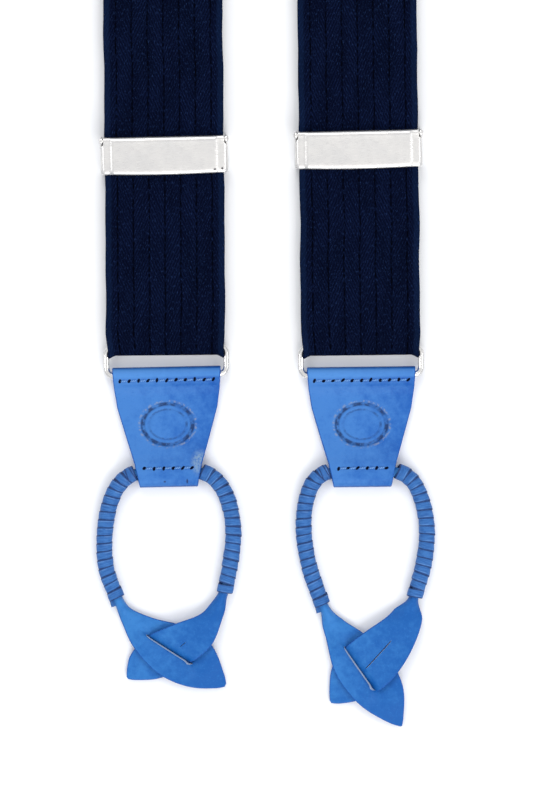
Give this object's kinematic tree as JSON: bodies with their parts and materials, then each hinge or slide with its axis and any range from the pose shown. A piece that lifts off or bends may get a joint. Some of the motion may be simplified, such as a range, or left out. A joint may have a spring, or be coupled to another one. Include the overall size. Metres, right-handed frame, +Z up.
{
  "type": "button-on suspenders",
  "caption": "Y-back suspenders laid flat: elastic webbing straps with lever slide adjusters, wire rings, leather tabs and rolled leather button loops.",
  "frame": {"origin": "middle of the object's box, on the table it lies on", "axes": "+Y along the straps from the front loops to the rear loop, +X across towards the right-hand strap as seen from above, +Z up"},
  "size_m": [0.1118, 1.0022, 0.0071],
  "materials": {
    "webbing": "matte",
    "leather": "satin",
    "patch_leather": "satin",
    "lacing": "satin",
    "nickel": "satin",
    "thread": "matte"
  },
  "bodies": {
    "suspenders": {"left_front_strap": "webbing", "left_strap_run": "webbing", "right_front_strap": "webbing", "right_strap_run": "webbing", "back_patch_lining": "patch_leather", "back_patch_outer": "patch_leather", "back_patch_left_stitching": "thread", "back_patch_right_stitching": "thread", "back_patch_rear_stitching": "thread", "rear_strap": "webbing", "rear_strap_stitching": "thread"},
    "left_adjuster": {"left_adjuster_frame": "nickel", "left_adjuster_pin": "nickel", "left_strap_tail": "webbing"},
    "left_adjuster_lever": {"left_adjuster_lever": "nickel"},
    "left_strap_turn": {"left_strap_bight": "webbing"},
    "left_ring": {"left_ring": "nickel"},
    "left_tab": {"left_tab": "leather", "left_tab_upper_stitching": "thread", "left_tab_lower_stitching": "thread"},
    "left_loop": {"left_button_loop": "leather", "left_outer_wrap": "lacing", "left_inner_wrap": "lacing"},
    "right_adjuster": {"right_adjuster_frame": "nickel", "right_adjuster_pin": "nickel", "right_strap_tail": "webbing"},
    "right_adjuster_lever": {"right_adjuster_lever": "nickel"},
    "right_strap_turn": {"right_strap_bight": "webbing"},
    "right_ring": {"right_ring": "nickel"},
    "right_tab": {"right_tab": "leather", "right_tab_upper_stitching": "thread", "right_tab_lower_stitching": "thread"},
    "right_loop": {"right_button_loop": "leather", "right_outer_wrap": "lacing", "right_inner_wrap": "lacing"},
    "rear_ring": {"rear_ring": "nickel"},
    "rear_tab": {"rear_tab": "leather", "rear_tab_upper_stitching": "thread", "rear_tab_lower_stitching": "thread"},
    "rear_loop": {"rear_button_loop": "leather", "rear_outer_wrap": "lacing", "rear_inner_wrap": "lacing"}
  },
  "joints": [
    {"name": "left_adjuster_slide", "type": "slide", "parent": "suspenders", "child": "left_adjuster", "axis": [-0.0096, 1, 0], "range_m": [-0.02, 0.16], "deforming": ["left_strap_tail"]},
    {"name": "left_lever_hinge", "type": "hinge", "parent": "left_adjuster", "child": "left_adjuster_lever", "pos_m": [-0.0274, -0.33115, 0.006], "axis": [-0.9997, -0.0227, 0], "range_deg": [0, 100]},
    {"name": "left_turn_slide", "type": "slide", "parent": "suspenders", "child": "left_strap_turn", "axis": [-0.0096, 1, 0], "range_m": [-0.01, 0.08], "deforming": ["left_strap_run"]},
    {"name": "left_ring_hinge", "type": "hinge", "parent": "left_strap_turn", "child": "left_ring", "pos_m": [-0.02682, -0.391, 0.00235], "axis": [-0.9998, -0.0209, 0], "range_deg": [0, 45]},
    {"name": "left_tab_hinge", "type": "hinge", "parent": "left_ring", "child": "left_tab", "pos_m": [-0.02665, -0.399, 0.00235], "axis": [-0.9998, -0.0209, 0], "range_deg": [0, 60]},
    {"name": "left_loop_hinge", "type": "hinge", "parent": "left_tab", "child": "left_loop", "pos_m": [-0.02605, -0.42769, 0.0027], "axis": [-0.9998, -0.0209, 0], "range_deg": [0, 45]},
    {"name": "right_adjuster_slide", "type": "slide", "parent": "suspenders", "child": "right_adjuster", "axis": [-0.0122, 0.9999, 0], "range_m": [-0.02, 0.16], "deforming": ["right_strap_tail"]},
    {"name": "right_lever_hinge", "type": "hinge", "parent": "right_adjuster", "child": "right_adjuster_lever", "pos_m": [0.02882, -0.32946, 0.006], "axis": [-0.9997, -0.0227, 0], "range_deg": [0, 100]},
    {"name": "right_turn_slide", "type": "slide", "parent": "suspenders", "child": "right_strap_turn", "axis": [-0.0122, 0.9999, 0], "range_m": [-0.01, 0.08], "deforming": ["right_strap_run"]},
    {"name": "right_ring_hinge", "type": "hinge", "parent": "right_strap_turn", "child": "right_ring", "pos_m": [0.02962, -0.391, 0.00235], "axis": [-0.9999, -0.0122, 0], "range_deg": [0, 45]},
    {"name": "right_tab_hinge", "type": "hinge", "parent": "right_ring", "child": "right_tab", "pos_m": [0.02971, -0.399, 0.00235], "axis": [-0.9999, -0.0122, 0], "range_deg": [0, 60]},
    {"name": "right_loop_hinge", "type": "hinge", "parent": "right_tab", "child": "right_loop", "pos_m": [0.03007, -0.4277, 0.0027], "axis": [-0.9999, -0.0122, 0], "range_deg": [0, 45]},
    {"name": "rear_ring_hinge", "type": "hinge", "parent": "suspenders", "child": "rear_ring", "pos_m": [0.00147, 0.391, 0.00235], "axis": [1, 0, 0], "range_deg": [0, 45]},
    {"name": "rear_tab_hinge", "type": "hinge", "parent": "rear_ring", "child": "rear_tab", "pos_m": [0.00147, 0.399, 0.00235], "axis": [1, 0, 0], "range_deg": [0, 60]},
    {"name": "rear_loop_hinge", "type": "hinge", "parent": "rear_tab", "child": "rear_loop", "pos_m": [0.00147, 0.4277, 0.0027], "axis": [1, 0, 0], "range_deg": [0, 45]}
  ],
  "couplings": [
    {"joint": "left_turn_slide", "follows": "left_adjuster_slide", "ratio": 0.5},
    {"joint": "right_turn_slide", "follows": "right_adjuster_slide", "ratio": 0.5}
  ]
}
